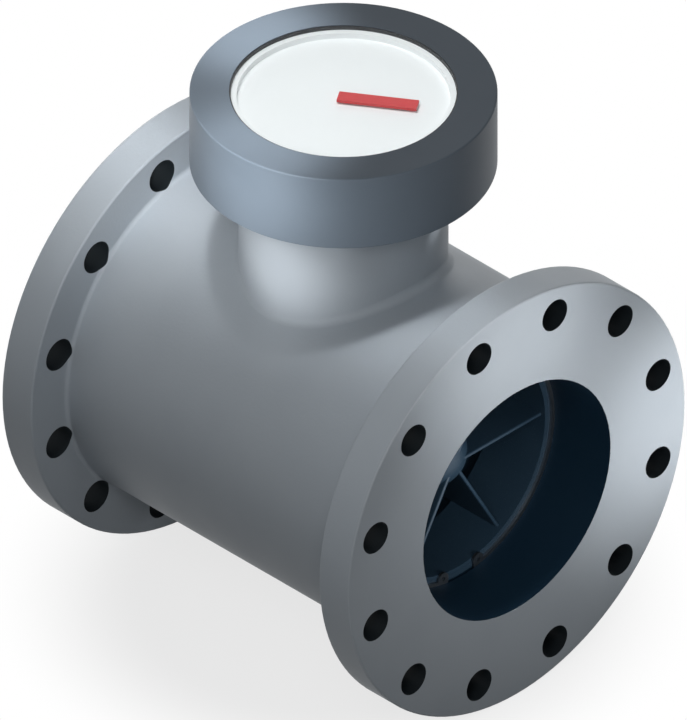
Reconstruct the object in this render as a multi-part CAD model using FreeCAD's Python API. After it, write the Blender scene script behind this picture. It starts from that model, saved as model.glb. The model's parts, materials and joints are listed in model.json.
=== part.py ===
"""Bulk water meter of nominal bore 200: a flanged casting with a helical vane rotor on the
pipe's axis, a worm drive up the neck, a magnetic coupling through the cover, and a dry
register head that swivels on the cover and shows one pointer.

The frame: the origin is the centre of the inlet flange's face, +X runs with the flow and
+Z points up to the register. Lengths are millimetres and angles are degrees.
"""

import math
import os

import FreeCAD
import Part

V = FreeCAD.Vector
X_AXIS = V(1, 0, 0)
Z_AXIS = V(0, 0, 1)

# Casting
face_to_face = 350.0
flange_diameter = 340.0
flange_thickness = 30.0
bolt_edge_distance = 22.5
bolt_hole = 25.0
bolt_count = 12
hole_barrel_gap = 0.5
barrel_wall = 14.0
port_bore = 189.0
port_depth = 58.5
land_length = 21.5
neck_diameter = 150.0
neck_wall = 12.0
neck_flange_thickness = 12.0
rim_round = 1.6
root_round = 3.0
neck_root_round = 6.0

# Register head
height_over_axis = 270.0
head_diameter = 220.0
head_height = 60.0
dial_opening = 163.4
skirt_wall = 4.0
head_edge_round = 1.2
shroud_shoulder = 2.0
shroud_top_thickness = 8.0
window_thickness = 3.0
window_sink = 0.5
window_seal_width = 1.0
ledge_width = 4.2
pan_thickness = 1.5
pan_flange_thickness = 1.0
dial_depth = 4.5
pointer_length = 54.0
pointer_tail = 4.0
pointer_width = 11.0
pointer_thickness = 2.0
pointer_angle = 34.0
pointer_glass_gap = 1.0
pointer_hub_radius = 3.8
pointer_float = 0.6

# Cover, swivel joint and their seals
cover_thickness = 12.0
cover_rim_thickness = 5.0
spigot_length = 16.0
spigot_bore = 100.0
membrane_thickness = 2.0
magnet_recess_radius = 20.0
dimple_depth = 0.8
cover_bolt_count = 8
cover_bolt_thread = 8.0
cover_bolt_head = 13.0
cover_bolt_head_height = 5.0
cover_bolt_depth = 10.0
cover_bolt_socket = 5.0
cover_bolt_socket_depth = 3.0
cover_bolt_sink = 1.0
cover_bolt_play = 0.25
glide_thickness = 2.0
glide_width = 7.0
glide_inset = 1.0
base_thickness = 4.0
base_pocket_depth = 2.5
swivel_room = 7.7
swivel_ring_wall = 3.0
swivel_foot_thickness = 4.2
swivel_foot_reach = 6.5
swivel_foot_gap = 0.8
swivel_screw_count = 6
swivel_screw_thread = 2.0
swivel_screw_depth = 8.0
swivel_head_sink = 2.0
swivel_head_cover = 0.4
lock_screw_thread = 3.0
lock_screw_angle = 135.0
lock_screw_reach = 3.0
lock_screw_sink = 0.5
lock_screw_cover = 0.4

# Measuring insert
sleeve_wall = 4.3
insert_ring_wall = 3.0
insert_ring_setback = 2.2
outlet_ring_length = 50.0
snap_ring_thickness = 2.0
snap_ring_width = 5.5
snap_ring_gap_angle = 16.0
snap_ring_lug_radius = 5.0
snap_ring_hole_radius = 1.5
snap_ring_lug_inset = 0.5
seal_section = 2.6
seal_groove_ratio = 1.2
cover_seal_section = 4.0
hub_radius = 29.0
straightener_vanes = 8
support_vanes = 6
vane_thickness = 2.8
vane_end_inset = 2.0
rear_vane_lead = 18.0
nose_length = 18.0
nose_steps = 4
tail_length = 34.0
rotor_length = 52.0
rotor_hub_radius = 30.0
rotor_boss_radius = 7.5
rotor_tip_clearance = 1.5
rotor_pitch = 317.0
blade_count = 8
blade_root_thickness = 3.2
blade_tip_thickness = 4.2
blade_sections = 7
blade_root_sink = 3.0
blade_tip_excess = 6.0
rotor_end_gap = 1.5
shaft_radius = 2.5
pivot_radius = 1.5
bearing_radius = 4.5
bearing_length = 6.0
pivot_floor = 1.0
case_wall = 3.0
case_lid_thickness = 2.0
case_lid_play = 0.4
case_gap = 1.0
case_rear_wall = 8.0
foot_boss_wall = 1.4

# Worm drive and change gears
worm_starts = 2
worm_module = 0.8
worm_pitch_diameter = 8.0
worm_length = 13.0
worm_wheel_teeth = 24
worm_wheel_thickness = 5.0
worm_play = 0.26
worm_root_sink = 0.2
wheel_hub_radius = 4.4
wheel_hub_reach = 1.5
wheel_hub_float = 0.5
change_gear_teeth = 17
change_gear_module = 0.8
change_gear_thickness = 3.0
spindle_radius = 2.0
spindle_stub = 1.0
foot_bush_wall = 2.1
top_bush_wall = 1.2
spindle_tube_radius = 6.5
spindle_tube_wall = 2.0
tube_socket_depth = 3.0
tube_socket_sink = 4.0
bracket_thickness = 4.0
bracket_radius = 47.0
bracket_drop = 28.0
bracket_post_radius = 4.0
bracket_post_circle = 42.0
bracket_posts = 3
bracket_turn = 30.0
bracket_pivot_depth = 3.0
bracket_window_radius = 7.0
bracket_window_turn = 60.0
bracket_screw_thread = 2.5
bracket_screw_grip = 5.0
bracket_screw_head_height = 3.0
screw_slot = 1.0

# Register train
train_module = 1.2
pinion_teeth = 10
wheel_teeth = 50
train_gear_thickness = 3.0
level_gap = 1.5
first_level_height = 4.5
train_plate_thickness = 2.0
train_plate_radius = 72.0
train_window_radius = 14.0
train_window_circle = 44.0
plate_gap = 0.5
pillar_radius = 4.0
pillar_circle = 66.0
pillar_count = 3
pillar_screw_thread = 1.5
cock_thickness = 2.5
cock_width = 8.0
cock_reach = 24.0
cock_post_radius = 4.5
cock_tap_depth = 5.0
arbor_hole_depth = 2.0
stem_inset = 0.1
magnet_outer_radius = 15.0
magnet_inner_radius = 6.0
magnet_thickness = 4.0
carrier_thickness = 1.5
carrier_rim = 2.0
magnet_end_gap = 0.8

# Fits and running clearances
running_clearance = 0.05
seat_clearance = 0.02
slide_clearance = 0.1
end_float = 0.1
tap_spare = 0.5
swivel_gap = 0.3
skirt_gap = 1.0
backlash = 0.12
pressure_angle = 20.0
pinion_addendum = 1.0
wheel_addendum = 0.62
equal_addendum = 0.9
gear_root_depth = 1.2
flank_foot = 0.02
worm_addendum = 0.8

# Cutting tools run this far past the faces that they open
past = 1.0

# Edges this near to a place are taken to lie on it
on_place = 0.01
on_curve = 0.05

# Places worked out along the pipe
spindle_x = face_to_face / 2
port_radius = port_bore / 2
bolt_circle = flange_diameter - 2 * bolt_edge_distance
barrel_radius = (bolt_circle - bolt_hole) / 2 - hole_barrel_gap
chamber_radius = barrel_radius - barrel_wall
sleeve_start = port_depth
sleeve_end = face_to_face - port_depth
sleeve_outer = port_radius - slide_clearance
sleeve_inner = sleeve_outer - sleeve_wall
insert_ring_outer = sleeve_inner - slide_clearance
insert_ring_inner = insert_ring_outer - insert_ring_wall
rotor_tip_radius = sleeve_inner - rotor_tip_clearance
worm_distance = (worm_pitch_diameter + worm_module * worm_wheel_teeth) / 2
worm_wheel_tip = worm_module * (worm_wheel_teeth / 2 + worm_addendum)
case_reach = worm_wheel_tip + case_gap
case_front = spindle_x - case_reach
case_rear = spindle_x + case_reach
hub_front = case_front - case_lid_thickness
rotor_rear = hub_front - rotor_end_gap
rotor_front = rotor_rear - rotor_length
straightener_end = rotor_front - rotor_end_gap
hub_rear = case_rear + case_rear_wall
case_inner_radius = hub_radius - case_wall

# Places worked out up the neck and the head, as heights over the pipe's axis
ring_top = height_over_axis
head_bottom = ring_top - head_height
neck_top = head_bottom + neck_flange_thickness
cover_top = neck_top + cover_thickness
base_bottom = cover_top + glide_thickness
base_top = base_bottom + base_thickness
pocket_floor = base_top - base_pocket_depth
window_top = ring_top - window_sink
window_bottom = window_top - window_thickness
ledge_top = window_bottom - pan_flange_thickness
pan_floor_top = window_bottom - dial_depth
pan_floor_bottom = pan_floor_top - pan_thickness
train_plate_top = pan_floor_bottom - plate_gap
train_plate_bottom = train_plate_top - train_plate_thickness
level_step = train_gear_thickness + level_gap
level_1 = base_top + first_level_height
level_2 = level_1 + level_step
level_3 = level_2 + level_step
cock_bottom = (level_1 + train_gear_thickness + level_3 - cock_thickness) / 2
cock_top = cock_bottom + cock_thickness
pointer_top = window_bottom - pointer_glass_gap
pointer_bottom = pointer_top - pointer_thickness
spigot_bottom = neck_top - spigot_length
bracket_top = neck_top - bracket_drop
bracket_bottom = bracket_top - bracket_thickness
change_gear_bottom = bracket_top + level_gap
change_gear_top = change_gear_bottom + change_gear_thickness
recess_top = cover_top - membrane_thickness
chimney_radius = neck_diameter / 2 - neck_wall
spigot_radius = chimney_radius - slide_clearance
skirt_outer = head_diameter / 2
skirt_inner = skirt_outer - skirt_wall
neck_flange_radius = skirt_inner - skirt_gap
swivel_outer = skirt_inner - swivel_room
swivel_inner = swivel_outer - swivel_ring_wall
cover_rim_radius = swivel_inner - swivel_gap
cover_body_radius = swivel_inner - swivel_foot_reach - swivel_foot_gap
cover_bolt_radius = (chimney_radius + cover_body_radius) / 2
swivel_screw_radius = (swivel_inner + swivel_outer) / 2
dial_radius = dial_opening / 2
ledge_inner = dial_radius - ledge_width
train_distance = train_module * (pinion_teeth + wheel_teeth) / 2
neck_centre = V(spindle_x, 0, 0)
first_arbor = neck_centre + V(-train_distance / 2, train_distance * math.sqrt(3) / 2, 0)
second_arbor = neck_centre + V(train_distance / 2, train_distance * math.sqrt(3) / 2, 0)
spindle_place = neck_centre + V(0, worm_distance, 0)


def disc(radius, bottom, top, centre=neck_centre):
    """A solid round bar about a vertical line."""
    return Part.makeCylinder(radius, top - bottom, V(centre.x, centre.y, bottom), Z_AXIS)


def ring(outer, inner, bottom, top, centre=neck_centre):
    """A round tube about a vertical line."""
    return disc(outer, bottom, top, centre).cut(disc(inner, bottom - past, top + past, centre))


def bar(radius, start, end):
    """A solid round bar on the pipe's axis."""
    return Part.makeCylinder(radius, end - start, V(start, 0, 0), X_AXIS)


def tube(outer, inner, start, end):
    """A round tube on the pipe's axis."""
    return bar(outer, start, end).cut(bar(inner, start - past, end + past))


def turned(points, centre, axis):
    """A closed outline revolved a full turn."""
    face = Part.Face(Part.makePolygon(points + [points[0]]))
    return face.revolve(centre, axis, 360)


def turned_upright(profile, centre=neck_centre):
    """An outline of (radius, height) pairs revolved about a vertical line."""
    points = [V(centre.x + radius, centre.y, height) for radius, height in profile]
    return turned(points, centre, Z_AXIS)


def fused(shapes):
    """Several shapes as one solid, with the seams between them removed."""
    return shapes[0].multiFuse(shapes[1:]).removeSplitter()


def around(shape, count, centre, axis, start=0.0):
    """Copies of a shape spread evenly round an axis."""
    copies = []
    for index in range(count):
        copy = shape.copy()
        copy.rotate(centre, axis, start + index * 360 / count)
        copies.append(copy)
    return copies


def rounded(shape, radius, wanted):
    """The shape with a fillet on each edge that wanted() picks."""
    edges = [edge for edge in shape.Edges if wanted(edge)]
    return shape.makeFillet(radius, edges)


def circle_edge(edge, radius, height):
    """Whether an edge is a circle of this radius lying at this height."""
    if not isinstance(edge.Curve, Part.Circle) or abs(edge.Curve.Radius - radius) > on_place:
        return False
    return abs(edge.BoundBox.ZMin - height) < on_place and edge.BoundBox.ZLength < on_place


def torus(ring_radius, section_radius, centre, axis):
    """An O-ring."""
    return Part.makeTorus(ring_radius, section_radius, centre, axis)


def flange_edge(edge, radius):
    """Whether an edge is a circle of this radius about the pipe's axis."""
    if not isinstance(edge.Curve, Part.Circle) or abs(edge.Curve.Radius - radius) > on_place:
        return False
    return math.hypot(edge.Curve.Center.y, edge.Curve.Center.z) < on_place


# Casting


def make_body_casting():
    """The cast housing: barrel, two flanges, neck and neck flange, cored and machined."""
    rim = flange_diameter / 2
    far = face_to_face
    outline = [
        V(0, 0, 0),
        V(0, 0, rim),
        V(flange_thickness, 0, rim),
        V(flange_thickness, 0, barrel_radius),
        V(far - flange_thickness, 0, barrel_radius),
        V(far - flange_thickness, 0, rim),
        V(far, 0, rim),
        V(far, 0, 0),
    ]
    spool = turned(outline, V(0, 0, 0), X_AXIS)
    spool = rounded(spool, rim_round, lambda edge: flange_edge(edge, rim))
    inner_corners = (flange_thickness, far - flange_thickness)
    spool = rounded(
        spool,
        root_round,
        lambda edge: flange_edge(edge, barrel_radius)
        and min(abs(edge.Curve.Center.x - corner) for corner in inner_corners) < on_place,
    )
    neck = disc(neck_diameter / 2, 0, neck_top)
    flange = disc(neck_flange_radius, head_bottom, neck_top)
    body = fused([spool, neck, flange])
    body = rounded(body, neck_root_round, saddle_edge)
    body = rounded(
        body, root_round, lambda edge: circle_edge(edge, neck_diameter / 2, head_bottom)
    )
    holes = [bar(port_radius, -past, far + past), chamber(), disc(chimney_radius, 0, neck_top + past)]
    holes += flange_holes()
    holes += cover_holes()
    holes += snap_grooves()
    return body.cut(holes)


def saddle_edge(edge):
    """Whether an edge lies on the curve where the neck meets the barrel."""
    middle = edge.valueAt((edge.FirstParameter + edge.LastParameter) / 2)
    on_neck = abs(math.hypot(middle.x - spindle_x, middle.y) - neck_diameter / 2) < on_curve
    on_barrel = abs(math.hypot(middle.y, middle.z) - barrel_radius) < on_curve
    curved = edge.BoundBox.ZLength > on_curve
    return on_neck and on_barrel and curved and edge.BoundBox.ZMin > 0


def chamber():
    """The cored hollow between the two machined lands, with sloping ends."""
    start = port_depth + land_length
    end = face_to_face - start
    slope = chamber_radius - port_radius
    outline = [
        V(start, 0, 0),
        V(start, 0, port_radius),
        V(start + slope / 2, 0, chamber_radius),
        V(end - slope / 2, 0, chamber_radius),
        V(end, 0, port_radius),
        V(end, 0, 0),
    ]
    return turned(outline, V(0, 0, 0), X_AXIS)


def flange_holes():
    """The bolt holes of both flanges, which straddle the vertical centre line."""
    reach = flange_thickness + root_round + past
    offset = 180 / bolt_count
    holes = []
    for start in (-past, face_to_face - reach):
        centre = V(start, 0, bolt_circle / 2)
        hole = Part.makeCylinder(bolt_hole / 2, reach + past, centre, X_AXIS)
        holes += around(hole, bolt_count, V(0, 0, 0), X_AXIS, offset)
    return holes


def cover_holes():
    """The tapped holes for the cover's bolts."""
    centre = neck_centre + V(cover_bolt_radius, 0, 0)
    radius = cover_bolt_thread / 2 + seat_clearance
    hole = disc(radius, neck_top - cover_bolt_depth - tap_spare, neck_top + past, centre)
    return around(hole, cover_bolt_count, neck_centre, Z_AXIS, 180 / cover_bolt_count)


def snap_grooves():
    """The two grooves that hold the snap rings at the ends of the measuring sleeve."""
    width = snap_ring_thickness + 2 * slide_clearance
    depth = port_radius + snap_ring_width / 2 + slide_clearance
    grooves = []
    for start in (sleeve_start - width, sleeve_end):
        grooves.append(bar(depth, start, start + width))
    return grooves


# Measuring insert


def make_snap_ring(start):
    """An internal snap ring with a gap at the bottom and two drilled lugs."""
    outer = port_radius + snap_ring_width / 2
    inner = outer - snap_ring_width
    end = start + snap_ring_thickness
    half_gap = math.radians(snap_ring_gap_angle / 2)
    reach = outer + past
    apex = V(start - past, 0, 0)
    spread = reach * math.tan(half_gap)
    wedge = Part.makePolygon([apex, apex + V(0, -spread, -reach), apex + V(0, spread, -reach), apex])
    wedge = Part.Face(wedge).extrude(V(snap_ring_thickness + 2 * past, 0, 0))
    band = tube(outer, inner, start, end)
    shapes = [band]
    holes = [wedge]
    lug_circle = inner - snap_ring_lug_radius / 3
    for side in (-1, 1):
        turn = half_gap + snap_ring_lug_radius / lug_circle
        place = V(start, side * lug_circle * math.sin(turn), -lug_circle * math.cos(turn))
        lug = Part.makeCylinder(snap_ring_lug_radius, snap_ring_thickness, place, X_AXIS)
        shapes.append(lug.common(bar(outer - snap_ring_lug_inset, start, end)))
        length = snap_ring_thickness + 2 * past
        holes.append(
            Part.makeCylinder(snap_ring_hole_radius, length, place - V(past, 0, 0), X_AXIS)
        )
    return fused(shapes).cut(holes)


def sleeve_seal_places():
    """Where the sleeve's two O-rings sit along the pipe."""
    inset = land_length / 2
    return (sleeve_start + inset, sleeve_end - inset)


def make_measuring_sleeve():
    """The tube that carries the insert, with two seal grooves and a hole for the spindle."""
    sleeve = tube(sleeve_outer, sleeve_inner, sleeve_start, sleeve_end)
    groove_width = seal_section * seal_groove_ratio
    groove_floor = port_radius - seal_section
    cuts = []
    for place in sleeve_seal_places():
        start = place - groove_width / 2
        cuts.append(tube(port_radius + past, groove_floor, start, start + groove_width))
    opening = spindle_tube_radius + slide_clearance
    cuts.append(disc(opening, hub_radius, port_radius + past, spindle_place))
    return sleeve.cut(cuts)


def make_sleeve_seal(place):
    """An O-ring in the sleeve's groove."""
    section = seal_section / 2 - seat_clearance
    return torus(port_radius - seal_section / 2, section, V(place, 0, 0), X_AXIS)


def radial_vane(start, end, outer):
    """A flat vane with rounded ends, standing up from the axis."""
    half = vane_thickness / 2
    plate = Part.makeBox(
        end - start - vane_thickness, vane_thickness, outer, V(start + half, -half, 0)
    )
    noses = [
        Part.makeCylinder(half, outer, V(place, 0, 0), Z_AXIS)
        for place in (start + half, end - half)
    ]
    return fused([plate] + noses)


def half_ellipse(start, length, radius):
    """A domed nose: half an ellipse revolved about the pipe's axis, blunt end at start + length."""
    tip = V(start, 0, 0)
    base = start + length
    top = V(base, 0, radius)
    spots = []
    for step in range(nose_steps + 1):
        angle = math.pi / 2 * step / nose_steps
        spots.append(V(base - length * math.cos(angle), 0, radius * math.sin(angle)))
    curve = Part.BSplineCurve()
    curve.interpolate(spots)
    edges = [
        curve.toShape(),
        Part.LineSegment(top, V(base, 0, 0)).toShape(),
        Part.LineSegment(V(base, 0, 0), tip).toShape(),
    ]
    return Part.Face(Part.Wire(edges)).revolve(V(0, 0, 0), X_AXIS, 360)


def make_flow_straightener():
    """The inlet guide: nose, hub, straight radial vanes and an outer ring, in one moulding."""
    ring_start = sleeve_start + end_float
    ring_end = straightener_end - insert_ring_setback
    nose = half_ellipse(ring_start, nose_length, hub_radius)
    hub = fused([nose, bar(hub_radius, ring_start + nose_length, straightener_end)])
    vane_start = ring_start + nose_length / 4
    vane_outer = insert_ring_outer - insert_ring_wall / 2
    vane = radial_vane(vane_start, ring_end - vane_end_inset, vane_outer)
    vanes = around(vane, straightener_vanes, V(0, 0, 0), X_AXIS)
    band = tube(insert_ring_outer, insert_ring_inner, ring_start, ring_end)
    guide = fused([hub, band] + vanes)
    seat_start = straightener_end - bearing_length
    return guide.cut(bar(bearing_radius + seat_clearance, seat_start, straightener_end + past))


def pivot_bush(start, open_at_start):
    """A plain bearing bush on the pipe's axis, with a blind pivot hole."""
    end = start + bearing_length
    depth = bearing_length - pivot_floor
    hole_start = start - past if open_at_start else end - depth
    hole_end = start + depth if open_at_start else end + past
    bush = bar(bearing_radius, start, end)
    return bush.cut(bar(pivot_radius + running_clearance, hole_start, hole_end))


def make_front_bearing():
    """The bush in the straightener's hub."""
    return pivot_bush(straightener_end - bearing_length, open_at_start=False)


def make_rear_bearing():
    """The bush in the rear wall of the gear case."""
    return pivot_bush(case_rear, open_at_start=True)


def rotor_blade():
    """One helical blade: a thin radial section carried along the axis and turned by the pitch."""
    inner = rotor_hub_radius - blade_root_sink
    outer = rotor_tip_radius + blade_tip_excess
    sections = []
    for index in range(blade_sections):
        share = index / (blade_sections - 1)
        place = rotor_front + share * rotor_length
        turn = -360 * share * rotor_length / rotor_pitch
        corners = [
            V(place, -blade_root_thickness / 2, inner),
            V(place, -blade_tip_thickness / 2, outer),
            V(place, blade_tip_thickness / 2, outer),
            V(place, blade_root_thickness / 2, inner),
        ]
        section = Part.makePolygon(corners + [corners[0]])
        section.rotate(V(0, 0, 0), X_AXIS, turn)
        sections.append(section)
    blade = Part.makeLoft(sections, True, False)
    return blade.common(bar(rotor_tip_radius, rotor_front - past, rotor_rear + past))


def make_rotor():
    """The moulded turbine: hub with a recess at each end, and overlapping helical blades."""
    hub = bar(rotor_hub_radius, rotor_front, rotor_rear)
    blades = around(rotor_blade(), blade_count, V(0, 0, 0), X_AXIS)
    rotor = fused([hub] + blades)
    recess_outer = rotor_hub_radius - case_wall
    depth = rotor_length / 4
    cuts = [
        tube(recess_outer, rotor_boss_radius, rotor_front - past, rotor_front + depth),
        tube(recess_outer, rotor_boss_radius, rotor_rear - depth, rotor_rear + past),
        bar(shaft_radius + seat_clearance, rotor_front - past, rotor_rear + past),
    ]
    return rotor.cut(cuts)


def make_rotor_shaft():
    """The stepped steel shaft, with a pivot at each end."""
    front = straightener_end + end_float
    rear = case_rear - end_float
    pivot_reach = bearing_length - pivot_floor - end_float
    shaft = bar(shaft_radius, front, rear)
    front_pivot = bar(pivot_radius, front - end_float - pivot_reach, front)
    rear_pivot = bar(pivot_radius, rear, rear + end_float + pivot_reach)
    return fused([shaft, front_pivot, rear_pivot])


def worm_thread():
    """One start of the worm's right-hand thread, about +Z, with its crest's middle at height 0."""
    lead = worm_starts * math.pi * worm_module
    pitch_radius = worm_pitch_diameter / 2
    crest = pitch_radius + worm_addendum * worm_module
    root = pitch_radius - gear_root_depth * worm_module - worm_root_sink
    slope = math.tan(math.radians(pressure_angle))
    half = math.pi * worm_module / 4 - worm_play / 2
    crest_half = half - slope * (crest - pitch_radius)
    root_half = half + slope * (pitch_radius - root)
    turns_each_way = math.ceil(worm_length / lead / 2) + 1
    length = 2 * turns_each_way * lead
    path = Part.makeHelix(lead, length, pitch_radius)
    corners = [
        V(root, 0, -root_half),
        V(crest, 0, -crest_half),
        V(crest, 0, crest_half),
        V(root, 0, root_half),
    ]
    section = Part.makePolygon(corners + [corners[0]])
    thread = Part.Wire(path.Edges).makePipeShell([section], True, True)
    thread.translate(V(0, 0, -length / 2))
    return thread


def make_worm():
    """The two-start worm on the rotor shaft, its crest in mesh at the wheel's middle plane."""
    half = worm_length / 2
    root = worm_pitch_diameter / 2 - gear_root_depth * worm_module
    threads = around(worm_thread(), worm_starts, V(0, 0, 0), Z_AXIS)
    core = Part.makeCylinder(root, worm_length, V(0, 0, -half), Z_AXIS)
    crest = worm_pitch_diameter / 2 + worm_addendum * worm_module
    limit = Part.makeCylinder(crest + past, worm_length, V(0, 0, -half), Z_AXIS)
    bore_start = V(0, 0, -half - past)
    bore = Part.makeCylinder(shaft_radius + seat_clearance, worm_length + 2 * past, bore_start, Z_AXIS)
    worm = core.multiFuse([thread.common(limit) for thread in threads]).cut(bore)
    # Laid along the pipe with the thread's starting side turned to +Y, where the wheel is.
    worm.rotate(V(0, 0, 0), V(0, 1, 0), 90)
    worm.rotate(V(0, 0, 0), X_AXIS, -90)
    worm.translate(V(spindle_x, 0, 0))
    return worm


def make_rear_support():
    """The outlet guide: gear case, vanes, tail cone and an outer ring, in one moulding."""
    ring_end = sleeve_end - end_float
    ring_start = ring_end - outlet_ring_length
    tail_start = ring_end - tail_length - vane_end_inset
    case = bar(hub_radius, case_front, tail_start)
    tail = half_ellipse(0, tail_length, hub_radius)
    tail.rotate(V(0, 0, 0), Z_AXIS, 180)
    tail.translate(V(tail_start + tail_length, 0, 0))
    vane_outer = insert_ring_outer - insert_ring_wall / 2
    vane = radial_vane(ring_start - rear_vane_lead, ring_end - 2 * vane_end_inset, vane_outer)
    vanes = around(vane, support_vanes, V(0, 0, 0), X_AXIS, 180 / support_vanes)
    band = tube(insert_ring_outer, insert_ring_inner, ring_start, ring_end)
    foot = disc(foot_boss_radius(), -hub_radius, foot_top(), spindle_place)
    foot = foot.common(bar(hub_radius - case_wall / 2, case_front, hub_rear))
    socket_bottom = spindle_tube_foot() - tube_socket_sink
    socket = disc(spindle_tube_radius + case_wall / 2, socket_bottom, socket_top(), spindle_place)
    support = fused([case, tail, band, socket] + vanes)
    support = support.cut(bar(case_inner_radius, case_front - past, case_rear))
    support = fused([support, foot])
    open_top = socket_top() + past
    tube_seat = spindle_tube_radius + seat_clearance
    bush_seat = foot_bush_radius() + seat_clearance
    cuts = [
        bar(bearing_radius + seat_clearance, case_rear - past, case_rear + bearing_length),
        disc(tube_seat, spindle_tube_foot(), open_top, spindle_place),
        disc(2 * spindle_radius, case_inner_radius / 2, open_top, spindle_place),
        disc(bush_seat, foot_top() - foot_bush_length(), foot_top() + past, spindle_place),
    ]
    return support.cut(cuts)


def foot_top():
    """The height of the spindle's lower bearing face, under the worm wheel."""
    return -worm_wheel_thickness / 2 - wheel_hub_reach - wheel_hub_float


def foot_boss_radius():
    """The radius of the boss inside the case that the spindle's foot bearing sits in."""
    return foot_bush_radius() + foot_boss_wall


def foot_bush_radius():
    """The outer radius of the spindle's foot bearing."""
    return pivot_radius + foot_bush_wall


def foot_bush_length():
    """The length of the spindle's foot bearing."""
    return bearing_length


def spindle_tube_foot():
    """The height at which the spindle tube stands in the gear case's socket."""
    return socket_top() - tube_socket_depth


def socket_top():
    """The top of the socket on the gear case."""
    return hub_radius + tube_socket_depth


def make_gear_case_lid():
    """The disc that closes the front of the gear case round the rotor shaft."""
    lid = bar(hub_radius, hub_front, case_front - seat_clearance)
    return lid.cut(bar(shaft_radius + case_lid_play, hub_front - past, case_front + past))


# Drive up the neck


def make_foot_bearing():
    """The blind bush that the spindle stands in."""
    bottom = foot_top() - foot_bush_length()
    bush = disc(foot_bush_radius(), bottom, foot_top(), spindle_place)
    hole_radius = pivot_radius + running_clearance
    return bush.cut(disc(hole_radius, bottom + pivot_floor, foot_top() + past, spindle_place))


def make_spindle():
    """The upright steel spindle from the worm wheel to the upper change gear."""
    shoulder = foot_top() + end_float
    pivot_bottom = foot_top() - foot_bush_length() + pivot_floor + end_float
    pivot = disc(pivot_radius, pivot_bottom, shoulder, spindle_place)
    stem = disc(spindle_radius, shoulder, change_gear_top + spindle_stub, spindle_place)
    return fused([pivot, stem])


def make_spindle_tube():
    """The guard tube round the spindle, from the gear case to the bracket."""
    bottom = spindle_tube_foot()
    top = bracket_bottom + tube_socket_depth / 2
    inner = spindle_tube_radius - spindle_tube_wall
    return ring(spindle_tube_radius, inner, bottom, top, spindle_place)


def make_bracket():
    """The bracket under the cover: a plate on three posts that carries both change gears."""
    plate = disc(bracket_radius, bracket_bottom, bracket_top)
    post_place = neck_centre + V(bracket_post_circle, 0, 0)
    post = disc(bracket_post_radius, bracket_bottom, neck_top, post_place)
    posts = around(post, bracket_posts, neck_centre, Z_AXIS, bracket_turn)
    bracket = fused([plate] + posts)
    below = bracket_bottom - past
    above = bracket_top + past
    screw_hole = disc(bracket_screw_thread + seat_clearance, below, neck_top + past, post_place)
    seat_top = bracket_bottom + tube_socket_depth / 2
    tube_seat = disc(spindle_tube_radius + seat_clearance, below, seat_top, spindle_place)
    cuts = around(screw_hole, bracket_posts, neck_centre, Z_AXIS, bracket_turn)
    cuts.append(tube_seat)
    cuts.append(disc(top_bush_radius() + seat_clearance, below, above, spindle_place))
    cuts.append(disc(pivot_radius + running_clearance, bracket_top - bracket_pivot_depth, above))
    # Two round windows side by side, clear of the spindle on the plate's +Y side.
    window_place = neck_centre - V(0, bracket_radius / 2, 0)
    window = disc(bracket_window_radius, below, above, window_place)
    for turn in (-bracket_window_turn, bracket_window_turn):
        cuts += around(window, 1, neck_centre, Z_AXIS, turn)
    return bracket.cut(cuts)


def top_bush_radius():
    """The outer radius of the spindle's upper bearing."""
    return spindle_radius + top_bush_wall


def make_top_bearing():
    """The bush in the bracket that steadies the spindle."""
    bottom = bracket_bottom + tube_socket_depth / 2
    inner = spindle_radius + running_clearance
    return ring(top_bush_radius(), inner, bottom, bracket_top, spindle_place)


def make_bracket_screws():
    """The screws that hold the bracket's posts to the cover."""
    place = neck_centre + V(bracket_post_circle, 0, 0)
    head_radius = bracket_post_radius
    head_bottom_height = bracket_bottom - bracket_screw_head_height
    head = disc(head_radius, head_bottom_height, bracket_bottom, place)
    slot = Part.makeBox(2 * (head_radius + past), screw_slot, screw_slot)
    slot.translate(V(place.x - head_radius - past, -screw_slot / 2, head_bottom_height - screw_slot / 2))
    shank = disc(bracket_screw_thread, bracket_bottom, neck_top + bracket_screw_grip, place)
    screw = fused([head, shank]).cut(slot)
    return Part.makeCompound(around(screw, bracket_posts, neck_centre, Z_AXIS, bracket_turn))


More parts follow.
